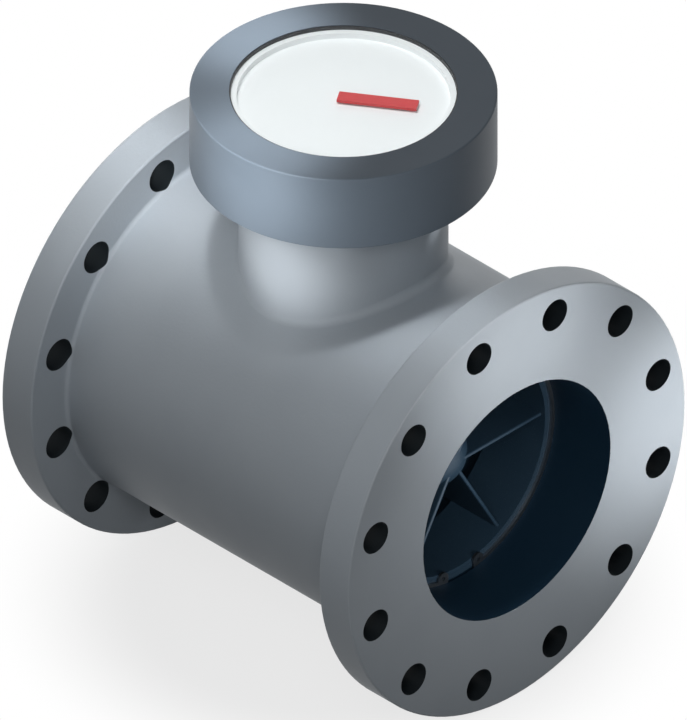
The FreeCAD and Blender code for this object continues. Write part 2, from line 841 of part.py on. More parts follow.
def make_cover_plate():
    """The pressure cover: plate, swivel rim, spigot with its seal groove, and the magnet recess."""
    rim_bottom = cover_top - cover_rim_thickness
    profile = [
        (0, recess_top),
        (magnet_recess_radius, recess_top),
        (magnet_recess_radius, neck_top),
        (spigot_bore / 2, neck_top),
        (spigot_bore / 2, spigot_bottom),
        (spigot_radius, spigot_bottom),
        (spigot_radius, neck_top),
        (cover_body_radius, neck_top),
        (cover_body_radius, rim_bottom),
        (cover_rim_radius, rim_bottom),
        (cover_rim_radius, cover_top),
        (0, cover_top),
    ]
    cover = turned_upright(profile)
    half_groove = cover_seal_section * seal_groove_ratio / 2
    groove_bottom = cover_seal_height() - half_groove
    groove_top = cover_seal_height() + half_groove
    groove_floor = chimney_radius - cover_seal_section
    cuts = [ring(chimney_radius + past, groove_floor, groove_bottom, groove_top)]
    bolt_place = neck_centre + V(cover_bolt_radius, 0, 0)
    shank_radius = cover_bolt_thread / 2 + cover_bolt_play
    shank_hole = disc(shank_radius, neck_top - past, cover_top + past, bolt_place)
    head_radius = cover_bolt_head / 2 + cover_bolt_play
    head_hole = disc(head_radius, cover_bolt_seat(), cover_top + past, bolt_place)
    for hole in (shank_hole, head_hole):
        cuts += around(hole, cover_bolt_count, neck_centre, Z_AXIS, 180 / cover_bolt_count)
    screw_place = neck_centre + V(bracket_post_circle, 0, 0)
    screw_radius = bracket_screw_thread + seat_clearance
    screw_top = neck_top + bracket_screw_grip + tap_spare
    screw_hole = disc(screw_radius, neck_top - past, screw_top, screw_place)
    cuts += around(screw_hole, bracket_posts, neck_centre, Z_AXIS, bracket_turn)
    cuts.append(disc(pivot_radius + running_clearance, recess_top - past, recess_top + dimple_depth))
    return cover.cut(cuts)


def cover_seal_height():
    """The height of the cover's O-ring."""
    return spigot_bottom + spigot_length / 2


def make_cover_seal():
    """The O-ring round the cover's spigot."""
    section = cover_seal_section / 2 - seat_clearance
    centre = V(spindle_x, 0, cover_seal_height())
    return torus(chimney_radius - cover_seal_section / 2, section, centre, Z_AXIS)


def cover_bolt_seat():
    """The height of the seats under the cover bolts' sunk heads."""
    return cover_top - cover_bolt_sink - cover_bolt_head_height


def hexagon(across_flats, bottom, top, centre):
    """A hexagonal prism standing upright."""
    corner = V(across_flats / math.sqrt(3), 0, 0)
    base = V(centre.x, centre.y, bottom)
    sixth = FreeCAD.Rotation(Z_AXIS, 360 / 6)
    points = [base + corner]
    for _ in range(6):
        corner = sixth.multVec(corner)
        points.append(base + corner)
    return Part.Face(Part.makePolygon(points)).extrude(V(0, 0, top - bottom))


def make_cover_bolts():
    """The low-head socket bolts that hold the cover down, sunk flush so that the head can turn."""
    place = neck_centre + V(cover_bolt_radius, 0, 0)
    seat = cover_bolt_seat()
    head_top = cover_top - cover_bolt_sink
    head = disc(cover_bolt_head / 2, seat, head_top, place)
    shank = disc(cover_bolt_thread / 2, neck_top - cover_bolt_depth, seat, place)
    socket = hexagon(cover_bolt_socket, head_top - cover_bolt_socket_depth, cover_top, place)
    bolt = fused([head, shank]).cut(socket)
    turn = 180 / cover_bolt_count
    return Part.makeCompound(around(bolt, cover_bolt_count, neck_centre, Z_AXIS, turn))


# Gears


def gear_outline(teeth, module, addendum, root_depth, play, phase):
    """A closed involute outline in the plane z = 0, with a tooth's middle at the angle phase.

    Each flank is a radial line up to the base circle and then one arc through three points of
    the involute; crests and roots are arcs about the centre.
    """
    pitch = teeth * module / 2
    crest = pitch + addendum * module
    root = pitch - root_depth * module
    base = pitch * math.cos(math.radians(pressure_angle))
    foot = max(base, root + flank_foot * module)
    involute_pitch = math.tan(math.radians(pressure_angle)) - math.radians(pressure_angle)
    half_pitch_angle = (math.pi * module / 2 - play) / (2 * pitch)

    def flank_angle(radius):
        roll = math.acos(min(1.0, base / radius))
        return half_pitch_angle + involute_pitch - (math.tan(roll) - roll)

    def spot(radius, angle):
        return V(radius * math.cos(angle), radius * math.sin(angle), 0)

    edges = []
    step = 2 * math.pi / teeth
    middle = (foot + crest) / 2
    for index in range(teeth):
        centre = math.radians(phase) + index * step
        lower = flank_angle(foot)
        low_start = spot(root, centre - lower)
        low = spot(foot, centre - lower)
        crest_low = spot(crest, centre - flank_angle(crest))
        crest_high = spot(crest, centre + flank_angle(crest))
        high = spot(foot, centre + lower)
        high_end = spot(root, centre + lower)
        next_start = spot(root, centre + step - lower)
        edges.append(Part.LineSegment(low_start, low).toShape())
        low_middle = spot(middle, centre - flank_angle(middle))
        edges.append(Part.Arc(low, low_middle, crest_low).toShape())
        edges.append(Part.Arc(crest_low, spot(crest, centre), crest_high).toShape())
        high_middle = spot(middle, centre + flank_angle(middle))
        edges.append(Part.Arc(crest_high, high_middle, high).toShape())
        edges.append(Part.LineSegment(high, high_end).toShape())
        edges.append(Part.Arc(high_end, spot(root, centre + step / 2), next_start).toShape())
    return Part.Wire(edges)


def spur_gear(teeth, module, addendum, bottom, thickness, centre, phase):
    """A spur gear standing on a vertical line."""
    outline = gear_outline(teeth, module, addendum, gear_root_depth, backlash, phase)
    gear = Part.Face(outline).extrude(V(0, 0, thickness))
    gear.translate(V(centre.x, centre.y, bottom))
    return gear


def direction(start, end):
    """The angle of the line from one centre to another, in degrees."""
    return math.degrees(math.atan2(end.y - start.y, end.x - start.x))


def gap_phase(teeth, angle):
    """The phase that turns a tooth gap, and not a tooth, to an angle."""
    return angle + 180 / teeth


def make_worm_wheel():
    """The helical wheel that the worm drives: outlines turned against each other and joined."""
    half = worm_wheel_thickness / 2
    pitch_radius = worm_module * worm_wheel_teeth / 2
    lead_slope = worm_starts * worm_module / worm_pitch_diameter
    twist = math.degrees(half * lead_slope / pitch_radius)
    phase = gap_phase(worm_wheel_teeth, direction(spindle_place, neck_centre))
    outlines = []
    for side in (-1, 1):
        turn = phase + side * twist
        outline = gear_outline(
            worm_wheel_teeth, worm_module, worm_addendum, gear_root_depth, 0.0, turn
        )
        outline.translate(V(spindle_place.x, spindle_place.y, side * half))
        outlines.append(outline)
    wheel = Part.makeLoft(outlines, True, True)
    reach = half + wheel_hub_reach
    hub = disc(wheel_hub_radius, -reach, reach, spindle_place)
    bore = disc(spindle_radius + seat_clearance, -reach - past, reach + past, spindle_place)
    return fused([wheel, hub]).cut(bore)


def make_spindle_change_gear():
    """The change gear on the spindle's top."""
    gear = spur_gear(
        change_gear_teeth,
        change_gear_module,
        equal_addendum,
        change_gear_bottom,
        change_gear_thickness,
        spindle_place,
        direction(spindle_place, neck_centre),
    )
    bore_radius = spindle_radius + seat_clearance
    return gear.cut(disc(bore_radius, bracket_top, change_gear_top + past, spindle_place))


def make_driver_change_gear():
    """The change gear on the driver shaft, in mesh with the spindle's."""
    gear = spur_gear(
        change_gear_teeth,
        change_gear_module,
        equal_addendum,
        change_gear_bottom,
        change_gear_thickness,
        neck_centre,
        gap_phase(change_gear_teeth, direction(neck_centre, spindle_place)),
    )
    return gear.cut(disc(spindle_radius + seat_clearance, bracket_top, change_gear_top + past))


def driver_magnet_top():
    """The top of the wet magnet, under the cover's thin centre."""
    return recess_top - magnet_end_gap


def make_driver_shaft():
    """The short shaft between the bracket and the cover that turns the wet magnet."""
    shoulder = bracket_top + end_float
    lower_pivot = disc(pivot_radius, shoulder - bracket_pivot_depth, shoulder)
    stem_top = recess_top - end_float
    stem = disc(spindle_radius, shoulder, stem_top)
    upper_pivot = disc(pivot_radius, stem_top, stem_top + dimple_depth)
    return fused([lower_pivot, stem, upper_pivot])


def make_driver_carrier():
    """The cup that carries the wet magnet."""
    top = driver_magnet_top()
    bottom = top - magnet_thickness - carrier_thickness
    cup = ring(magnet_outer_radius + carrier_rim, spindle_radius + seat_clearance, bottom, top)
    return cup.cut(magnet_groove(top - magnet_thickness, top + past))


def magnet_groove(bottom, top):
    """The ring-shaped groove that a magnet lies in."""
    outer = magnet_outer_radius + seat_clearance
    return ring(outer, magnet_inner_radius - seat_clearance, bottom, top)


def make_driver_magnet():
    """The wet ring magnet."""
    top = driver_magnet_top()
    return ring(magnet_outer_radius, magnet_inner_radius, top - magnet_thickness, top)


# Register head


def make_head_shroud():
    """The head's one-piece shell: a thick top ring round the dial and a skirt down to the neck."""
    shoulder = skirt_inner - shroud_shoulder
    underside = ring_top - shroud_top_thickness
    profile = [
        (dial_radius, ring_top),
        (skirt_outer, ring_top),
        (skirt_outer, head_bottom),
        (skirt_inner, head_bottom),
        (skirt_inner, base_top),
        (shoulder, base_top),
        (shoulder, underside),
        (ledge_inner, underside),
        (ledge_inner, ledge_top),
        (dial_radius, ledge_top),
    ]
    shroud = turned_upright(profile)
    shroud = rounded(shroud, head_edge_round, lambda edge: circle_edge(edge, skirt_outer, ring_top))
    shroud = rounded(
        shroud, head_edge_round / 2, lambda edge: circle_edge(edge, skirt_outer, head_bottom)
    )
    return shroud.cut(lock_screw_hole(seat_clearance, skirt_inner - lock_screw_reach))


def lock_screw_hole(clearance, inner):
    """The radial hole for the screw that locks the shroud to the register's base."""
    angle = math.radians(lock_screw_angle)
    outward = V(math.cos(angle), math.sin(angle), 0)
    start = V(spindle_x, 0, (base_bottom + base_top) / 2) + outward * inner
    length = skirt_outer + past - inner
    return Part.makeCylinder(lock_screw_radius() + clearance, length, start, outward)


def lock_screw_radius():
    """The radius of the head's lock screw, which fits in the base's thickness."""
    return min(lock_screw_thread / 2, base_thickness / 2 - lock_screw_cover)


def make_lock_screw():
    """The headless screw that stops the shroud unscrewing from the base."""
    screw = lock_screw_hole(0, skirt_inner - lock_screw_reach + end_float)
    return screw.common(disc(skirt_outer - lock_screw_sink, base_bottom, base_top))


def make_register_base():
    """The floor of the head: a disc that screws into the skirt, with a pocket for the dry magnet."""
    base = disc(skirt_inner - slide_clearance, base_bottom, base_top)
    below = base_bottom - past
    above = base_top + past
    arbor_hole = pivot_radius + running_clearance
    cuts = [disc(magnet_recess_radius, pocket_floor, above)]
    cuts.append(disc(arbor_hole, pocket_floor - dimple_depth, pocket_floor + past))
    for place in (first_arbor, second_arbor):
        cuts.append(disc(arbor_hole, base_top - arbor_hole_depth, above, place))
    screw_place = neck_centre + V(swivel_screw_radius, 0, 0)
    screw_hole = disc(swivel_screw_thread / 2 + seat_clearance, below, above, screw_place)
    head_seat = base_top - swivel_head_sink
    head_hole = disc(swivel_screw_thread + seat_clearance, head_seat, above, screw_place)
    cuts += around(screw_hole, swivel_screw_count, neck_centre, Z_AXIS)
    cuts += around(head_hole, swivel_screw_count, neck_centre, Z_AXIS)
    cuts += pillar_holes(below, above)
    cuts.append(disc(pillar_screw_thread + seat_clearance, below, above, cock_post_place()))
    cuts.append(lock_screw_hole(seat_clearance, skirt_inner - lock_screw_reach))
    return base.cut(cuts)


def make_swivel_ring():
    """The ring that hooks under the cover's rim and lets the head turn without lifting."""
    foot_top_height = cover_top - cover_rim_thickness - swivel_gap
    foot_bottom = foot_top_height - swivel_foot_thickness
    foot_inner = swivel_inner - swivel_foot_reach
    profile = [
        (swivel_inner, base_bottom),
        (swivel_outer, base_bottom),
        (swivel_outer, foot_bottom),
        (foot_inner, foot_bottom),
        (foot_inner, foot_top_height),
        (swivel_inner, foot_top_height),
    ]
    hook = turned_upright(profile)
    place = neck_centre + V(swivel_screw_radius, 0, 0)
    hole_bottom = base_bottom - swivel_screw_depth - tap_spare
    hole = disc(swivel_screw_thread / 2 + seat_clearance, hole_bottom, base_bottom + past, place)
    return hook.cut(around(hole, swivel_screw_count, neck_centre, Z_AXIS))


def make_swivel_screws():
    """The small screws that hold the swivel ring up against the base."""
    place = neck_centre + V(swivel_screw_radius, 0, 0)
    seat = base_top - swivel_head_sink
    head = disc(swivel_screw_thread, seat, base_top - swivel_head_cover, place)
    shank = disc(swivel_screw_thread / 2, base_bottom - swivel_screw_depth, seat, place)
    screw = fused([head, shank])
    return Part.makeCompound(around(screw, swivel_screw_count, neck_centre, Z_AXIS))


def make_glide_ring():
    """The slippery washer between the cover and the turning head."""
    outer = cover_rim_radius - glide_inset
    return ring(outer, outer - glide_width, cover_top, base_bottom)


def make_window():
    """The flat glass over the dial."""
    return disc(dial_radius - window_seal_width, window_bottom, window_top)


def make_window_seal():
    """The thin black seal round the glass."""
    return ring(dial_radius, dial_radius - window_seal_width, window_bottom, window_top)


def make_dial_pan():
    """The white dial, pressed as a shallow pan whose flange lies under the glass."""
    outer = ledge_inner - slide_clearance
    flange = dial_radius - slide_clearance
    profile = [
        (0, pan_floor_bottom),
        (outer, pan_floor_bottom),
        (outer, ledge_top),
        (flange, ledge_top),
        (flange, window_bottom),
        (outer - pan_flange_thickness, window_bottom),
        (outer - pan_flange_thickness, pan_floor_top),
        (0, pan_floor_top),
    ]
    pan = turned_upright(profile)
    return pan.cut(disc(2 * pivot_radius, pan_floor_bottom - past, pan_floor_top + past))


def pillar_holes(bottom, top):
    """The screw holes under or over the pillars."""
    place = neck_centre + V(0, pillar_circle, 0)
    hole = disc(pillar_screw_thread + seat_clearance, bottom, top, place)
    return around(hole, pillar_count, neck_centre, Z_AXIS)


def make_train_plate():
    """The upper plate of the register train."""
    plate = disc(train_plate_radius, train_plate_bottom, train_plate_top)
    below = train_plate_bottom - past
    above = train_plate_top + past
    arbors = (neck_centre, first_arbor, second_arbor)
    cuts = [disc(pivot_radius + running_clearance, below, above, place) for place in arbors]
    cuts += pillar_holes(below, above)
    # Lightening windows, clear of the pillars and the three arbors.
    place = neck_centre - V(0, train_window_circle, 0)
    window = disc(train_window_radius, below, above, place)
    cuts += around(window, pillar_count, neck_centre, Z_AXIS, 180 / pillar_count)
    return plate.cut(cuts)


def make_train_pillars():
    """The three pillars that hold the train plate over the base."""
    place = neck_centre + V(0, pillar_circle, 0)
    pillar = disc(pillar_radius, base_top, train_plate_bottom, place)
    hole = disc(pillar_screw_thread + seat_clearance, base_top - past, train_plate_bottom + past, place)
    return Part.makeCompound(around(pillar.cut(hole), pillar_count, neck_centre, Z_AXIS))


def make_pillar_rods():
    """The riveted rods that run through the base, the pillars and the train plate."""
    place = neck_centre + V(0, pillar_circle, 0)
    rod = disc(pillar_screw_thread, base_bottom, train_plate_top, place)
    return Part.makeCompound(around(rod, pillar_count, neck_centre, Z_AXIS))


def cock_post_place():
    """Where the centre cock stands on the base."""
    return neck_centre - V(0, cock_reach, 0)


def make_centre_cock():
    """The bridge over the magnet: a post with an arm whose eye holds both centre pivots."""
    post_place = cock_post_place()
    post = disc(cock_post_radius, base_top, cock_top, post_place)
    eye = disc(cock_width / 2, cock_bottom, cock_top)
    arm_start = V(spindle_x - cock_width / 2, -cock_reach, cock_bottom)
    arm = Part.makeBox(cock_width, cock_reach, cock_thickness, arm_start)
    screw_radius = pillar_screw_thread + seat_clearance
    foot_hole = disc(screw_radius, base_top - past, base_top + cock_tap_depth, post_place)
    arbor_hole = disc(pivot_radius + running_clearance, cock_bottom - past, cock_top + past)
    return fused([post, arm, eye]).cut([arbor_hole, foot_hole])


def make_cock_screw():
    """The screw that holds the cock to the base from below."""
    top = base_top + cock_tap_depth - tap_spare
    return disc(pillar_screw_thread, base_bottom, top, cock_post_place())


def dry_magnet_bottom():
    """The underside of the dry magnet, over the pocket's floor."""
    return pocket_floor + magnet_end_gap


def make_follower_magnet():
    """The dry ring magnet that follows the wet one through the cover."""
    bottom = dry_magnet_bottom()
    return ring(magnet_outer_radius, magnet_inner_radius, bottom, bottom + magnet_thickness)


def make_follower_pinion():
    """The dry magnet's carrier, with the train's first pinion moulded on top."""
    bottom = dry_magnet_bottom()
    magnet_top = bottom + magnet_thickness
    cup_top = magnet_top + carrier_thickness
    cup = disc(magnet_outer_radius + carrier_rim, bottom, cup_top)
    groove = magnet_groove(bottom - past, magnet_top)
    stem = disc(train_pinion_root(), cup_top, level_1)
    pinion = train_pinion(level_1, neck_centre, direction(neck_centre, first_arbor))
    carrier = fused([cup.cut(groove), stem, pinion])
    return carrier.cut(disc(pivot_radius + seat_clearance, bottom - past, level_2))


def train_pinion_root():
    """The root radius of the train's pinions."""
    return train_module * (pinion_teeth / 2 - gear_root_depth) - stem_inset


def train_pinion(bottom, centre, phase):
    """A ten-leaf pinion of the register train."""
    return spur_gear(
        pinion_teeth, train_module, pinion_addendum, bottom, train_gear_thickness, centre, phase
    )


def train_wheel(bottom, centre, phase):
    """A wheel of the register train."""
    return spur_gear(
        wheel_teeth, train_module, wheel_addendum, bottom, train_gear_thickness, centre, phase
    )


def make_follower_arbor():
    """The steel arbor of the dry magnet, from the pocket to the cock."""
    top = cock_bottom + cock_thickness / 2 - end_float
    return disc(pivot_radius, pocket_floor - dimple_depth + end_float, top)


def compound_wheel(centre, wheel_level, driver, driven):
    """A moulded wheel with the next pinion above it, meshed with the pieces before and after."""
    wheel_phase = gap_phase(wheel_teeth, direction(centre, driver))
    wheel = train_wheel(wheel_level, centre, wheel_phase)
    stem_bottom = wheel_level + train_gear_thickness
    stem = disc(train_pinion_root(), stem_bottom, stem_bottom + level_gap, centre)
    pinion = train_pinion(wheel_level + level_step, centre, direction(centre, driven))
    both = fused([wheel, stem, pinion])
    bore_top = wheel_level + 2 * level_step
    return both.cut(disc(pivot_radius + seat_clearance, wheel_level - past, bore_top, centre))


def train_arbor(centre):
    """A steel arbor from its hole in the base to its hole in the train plate."""
    bottom = base_top - arbor_hole_depth + end_float
    return disc(pivot_radius, bottom, train_plate_top - end_float, centre)


def make_pointer_wheel():
    """The last wheel of the train, on the pointer's arbor at the dial's centre."""
    phase = gap_phase(wheel_teeth, direction(neck_centre, second_arbor))
    wheel = train_wheel(level_3, neck_centre, phase)
    return wheel.cut(disc(pivot_radius + seat_clearance, level_3 - past, level_3 + level_step))


def make_pointer_arbor():
    """The steel arbor that carries the last wheel and the pointer."""
    bottom = cock_bottom + cock_thickness / 2 + end_float
    return disc(pivot_radius, bottom, pointer_bottom + pointer_thickness / 2)


def make_pointer():
    """The red pointer: a plain straight bar with a round hub under its inner end."""
    bar_shape = Part.makeBox(
        pointer_length + pointer_tail,
        pointer_width,
        pointer_thickness,
        V(spindle_x - pointer_tail, -pointer_width / 2, pointer_bottom),
    )
    hub = disc(pointer_hub_radius, pan_floor_top + pointer_float, pointer_bottom)
    hole_top = pointer_bottom + pointer_thickness / 2 + seat_clearance
    hole = disc(pivot_radius + seat_clearance, pan_floor_top, hole_top)
    pointer = fused([bar_shape, hub]).cut(hole)
    pointer.rotate(neck_centre, Z_AXIS, pointer_angle)
    return pointer


def all_parts():
    """Every piece by its node's name."""
    seal_in, seal_out = sleeve_seal_places()
    snap_in = sleeve_start - slide_clearance - snap_ring_thickness
    snap_out = sleeve_end + slide_clearance
    return {
        "body_casting": make_body_casting(),
        "inlet_snap_ring": make_snap_ring(snap_in),
        "outlet_snap_ring": make_snap_ring(snap_out),
        "inlet_sleeve_seal": make_sleeve_seal(seal_in),
        "outlet_sleeve_seal": make_sleeve_seal(seal_out),
        "measuring_sleeve": make_measuring_sleeve(),
        "flow_straightener": make_flow_straightener(),
        "front_bearing": make_front_bearing(),
        "rotor": make_rotor(),
        "rotor_shaft": make_rotor_shaft(),
        "worm": make_worm(),
        "rear_support": make_rear_support(),
        "rear_bearing": make_rear_bearing(),
        "gear_case_lid": make_gear_case_lid(),
        "spindle_foot_bearing": make_foot_bearing(),
        "spindle": make_spindle(),
        "worm_wheel": make_worm_wheel(),
        "spindle_tube": make_spindle_tube(),
        "transmission_bracket": make_bracket(),
        "spindle_top_bearing": make_top_bearing(),
        "bracket_screws": make_bracket_screws(),
        "spindle_change_gear": make_spindle_change_gear(),
        "driver_change_gear": make_driver_change_gear(),
        "driver_shaft": make_driver_shaft(),
        "driver_magnet_carrier": make_driver_carrier(),
        "driver_magnet": make_driver_magnet(),
        "cover_plate": make_cover_plate(),
        "cover_seal": make_cover_seal(),
        "cover_bolts": make_cover_bolts(),
        "head_shroud": make_head_shroud(),
        "head_lock_screw": make_lock_screw(),
        "register_base": make_register_base(),
        "swivel_ring": make_swivel_ring(),
        "swivel_screws": make_swivel_screws(),
        "glide_ring": make_glide_ring(),
        "window_glass": make_window(),
        "window_seal": make_window_seal(),
        "dial_pan": make_dial_pan(),
        "train_plate": make_train_plate(),
        "train_pillars": make_train_pillars(),
        "pillar_rods": make_pillar_rods(),
        "centre_cock": make_centre_cock(),
        "cock_screw": make_cock_screw(),
        "follower_magnet": make_follower_magnet(),
        "follower_pinion": make_follower_pinion(),
        "follower_arbor": make_follower_arbor(),
        "first_wheel": compound_wheel(first_arbor, level_1, neck_centre, second_arbor),
        "first_arbor": train_arbor(first_arbor),
        "second_wheel": compound_wheel(second_arbor, level_2, first_arbor, neck_centre),
        "second_arbor": train_arbor(second_arbor),
        "pointer_wheel": make_pointer_wheel(),
        "pointer_arbor": make_pointer_arbor(),
        "pointer": make_pointer(),
    }


def main():
    """Builds every piece and writes one STEP file for each."""
    os.makedirs("parts", exist_ok=True)
    for name, shape in all_parts().items():
        solids = [solid for solid in shape.Solids if solid.Volume > 0]
        valid = all(solid.isValid() for solid in solids)
        print(f"{name}: {len(solids)} solid(s), {shape.Volume / 1000:.3f} cm3, valid {valid}")
        kept = solids[0] if len(solids) == 1 else Part.makeCompound(solids)
        kept.exportStep(f"parts/{name}.step")


main()
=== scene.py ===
import json
import math

import bpy
import numpy as np
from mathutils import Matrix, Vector


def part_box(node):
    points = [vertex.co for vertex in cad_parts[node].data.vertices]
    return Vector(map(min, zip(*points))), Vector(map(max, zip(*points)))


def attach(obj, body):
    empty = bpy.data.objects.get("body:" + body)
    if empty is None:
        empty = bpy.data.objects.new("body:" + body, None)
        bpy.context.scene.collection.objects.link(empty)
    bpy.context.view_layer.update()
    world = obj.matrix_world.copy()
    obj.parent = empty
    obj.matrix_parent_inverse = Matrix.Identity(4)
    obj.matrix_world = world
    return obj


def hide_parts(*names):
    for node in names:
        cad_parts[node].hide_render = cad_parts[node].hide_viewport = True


# Bulk water meter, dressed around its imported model. Metres, +X with the flow, +Z up to the dial.

print("loading the packed meter")
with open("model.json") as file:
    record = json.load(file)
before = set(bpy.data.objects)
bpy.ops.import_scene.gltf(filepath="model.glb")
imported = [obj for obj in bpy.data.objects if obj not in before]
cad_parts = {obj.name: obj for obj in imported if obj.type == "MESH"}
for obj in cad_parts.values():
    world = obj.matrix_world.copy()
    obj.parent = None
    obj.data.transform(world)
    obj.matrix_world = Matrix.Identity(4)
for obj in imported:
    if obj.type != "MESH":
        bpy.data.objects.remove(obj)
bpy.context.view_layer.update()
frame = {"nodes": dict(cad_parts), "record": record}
nodes = frame["nodes"]
mm = 0.001


def cornersMm(nodeName):
    # lowest and highest corner of a piece, in millimetres
    low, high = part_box(nodeName)
    return np.array(low) / mm, np.array(high) / mm


# Sizes that the looks need, read from the frame
castingLow, castingHigh = cornersMm("body_casting")
shroudLow, shroudHigh = cornersMm("head_shroud")
pipeLength = castingHigh[0] - castingLow[0]
flangeRadius = castingHigh[1]
neckX = (shroudLow[0] + shroudHigh[0]) / 2
mounts = {mount["name"]: mount for mount in frame["record"]["mounts"]}
boltCircle = mounts["outlet_bolts"]["dims"]["pcd_mm"] / 2
boltHole = mounts["outlet_bolts"]["dims"]["hole_r_mm"]
boltCount = mounts["outlet_bolts"]["dims"]["count"]
portRadius = mounts["outlet_port"]["dims"]["r_mm"]


# Colour and node helpers

def hexLinear(text):
    # an sRGB hex colour as linear RGBA
    values = np.array([int(text[i:i + 2], 16) for i in (1, 3, 5)]) / 255
    linear = np.where(values <= 0.04045, values / 12.92, ((values + 0.055) / 1.055) ** 2.4)
    return (*linear.tolist(), 1.0)


def addNode(tree, kind, settings=None, values=None, links=None):
    # one node with its settings, its sockets' values and what feeds it
    node = tree.nodes.new("ShaderNode" + kind)
    for name, value in (settings or {}).items():
        setattr(node, name, value)
    for socket, value in (values or {}).items():
        node.inputs[socket].default_value = value
    for socket, source in (links or {}).items():
        tree.links.new(source, node.inputs[socket])
    return node


def calc(tree, operation, first, second=None, third=None, clamp=False):
    # one sum; each term is a number or another node's output
    terms = [first, second, third]
    values = {i: term for i, term in enumerate(terms) if isinstance(term, (int, float))}
    links = {i: term for i, term in enumerate(terms) if term is not None and i not in values}
    settings = {"operation": operation, "use_clamp": clamp}
    return addNode(tree, "Math", settings, values, links).outputs[0]


def distance(tree, first, second):
    # the root of the sum of two squares
    squares = [calc(tree, "MULTIPLY", side, side) for side in (first, second)]
    return calc(tree, "SQRT", calc(tree, "ADD", *squares))


def blendColours(tree, factor, first, second):
    # first colour where factor is 0, second where it is 1
    values = {}
    links = {}
    for socket, term in ((0, factor), (6, first), (7, second)):
        if isinstance(term, str):
            values[socket] = hexLinear(term)
        elif isinstance(term, (int, float)):
            values[socket] = term
        else:
            links[socket] = term
    return addNode(tree, "Mix", {"data_type": "RGBA"}, values, links).outputs[2]


def noiseMm(tree, coordinates, sizeMm, detail=2.0, roughness=0.5):
    # smooth noise whose lumps are about sizeMm across
    values = {"Scale": 1 / (sizeMm * mm), "Detail": detail, "Roughness": roughness}
    return addNode(tree, "TexNoise", None, values, {"Vector": coordinates}).outputs[0]


def startMaterial(name, shine):
    # an empty material with a shader, Object coordinates and the constants that shine gives
    material = bpy.data.materials.new(name)
    material.use_nodes = True
    tree = material.node_tree
    tree.nodes.clear()
    shader = addNode(tree, "BsdfPrincipled", None, shine)
    output = addNode(tree, "OutputMaterial")
    tree.links.new(shader.outputs[0], output.inputs[0])
    place = addNode(tree, "TexCoord").outputs["Object"]
    return material, tree, shader, place


def spread(tree, value, middle, width):
    # noise value 0 to 1 turned to middle plus or minus half of width
    return calc(tree, "MULTIPLY_ADD", value, width, middle - width / 2)


def bumpOf(tree, height, depthMm, before=None):
    # a bump of depthMm, on top of an earlier bump
    links = {"Height": height}
    if before is not None:
        links["Normal"] = before
    return addNode(tree, "Bump", None, {"Strength": 1.0, "Distance": depthMm * mm}, links).outputs[0]


def latheCoordinates(tree, place, axis, centreMm):
    # (radius, height along the axis, 0) about a lathe's axis, so marks run round the piece
    centre = [c * mm for c in centreMm]
    shifted = addNode(tree, "VectorMath", {"operation": "SUBTRACT"}, {1: centre}, {0: place})
    parts = addNode(tree, "SeparateXYZ", None, None, {0: shifted.outputs[0]}).outputs
    along = "XYZ".index(axis)
    across = [i for i in range(3) if i != along]
    radius = distance(tree, *[parts[i] for i in across])
    return addNode(tree, "CombineXYZ", None, None, {0: radius, 1: parts[along]}).outputs[0]


def finishShader(tree, shader, colour, roughness, normal):
    # what every painted, moulded or cut piece feeds its shader with
    tree.links.new(colour, shader.inputs["Base Color"])
    tree.links.new(roughness, shader.inputs["Roughness"])
    tree.links.new(normal, shader.inputs["Normal"])


def makeFinish(name, look):
    # a plain finish: two colours mixed in soft patches, a grain in the bump, uneven gloss,
    # and where the piece was turned, marks that run round its axis
    shine = {"Metallic": look.get("metallic", 0.0)}
    if not look.get("metallic"):
        shine["IOR"] = look["ior"]
    shine.update(look.get("extra", {}))
    material, tree, shader, place = startMaterial(name, shine)
    patches = noiseMm(tree, place, look["patchMm"], detail=3.0)
    colour = blendColours(tree, patches, look["colour"], look["secondColour"])
    fine = noiseMm(tree, place, look["grainMm"])
    if "fleckColour" in look:
        specks = noiseMm(tree, place, look["fleckMm"], detail=1.0)
        flecks = calc(tree, "GREATER_THAN", specks, look["fleckShare"])
        fleckHere = calc(tree, "MULTIPLY", flecks, look["fleckStrength"])
        colour = blendColours(tree, fleckHere, colour, look["fleckColour"])
    normal = bumpOf(tree, fine, look["grainDepthMm"])
    gloss = patches
    if "lathe" in look:
        turned = latheCoordinates(tree, place, *look["lathe"])
        marks = noiseMm(tree, turned, look["markMm"], detail=1.0)
        normal = bumpOf(tree, marks, look["markDepthMm"], normal)
        gloss = marks
        tint = calc(tree, "MULTIPLY", marks, look.get("markTint", 0.15))
        colour = blendColours(tree, tint, colour, look["secondColour"])
    roughness = spread(tree, gloss, look["roughness"], look["roughnessWidth"])
    finishShader(tree, shader, colour, roughness, normal)
    return material


def dress(nodeNames, material):
    # puts one finish on each of these pieces
    for nodeName in nodeNames:
        data = nodes[nodeName].data
        data.materials.clear()
        data.materials.append(material)


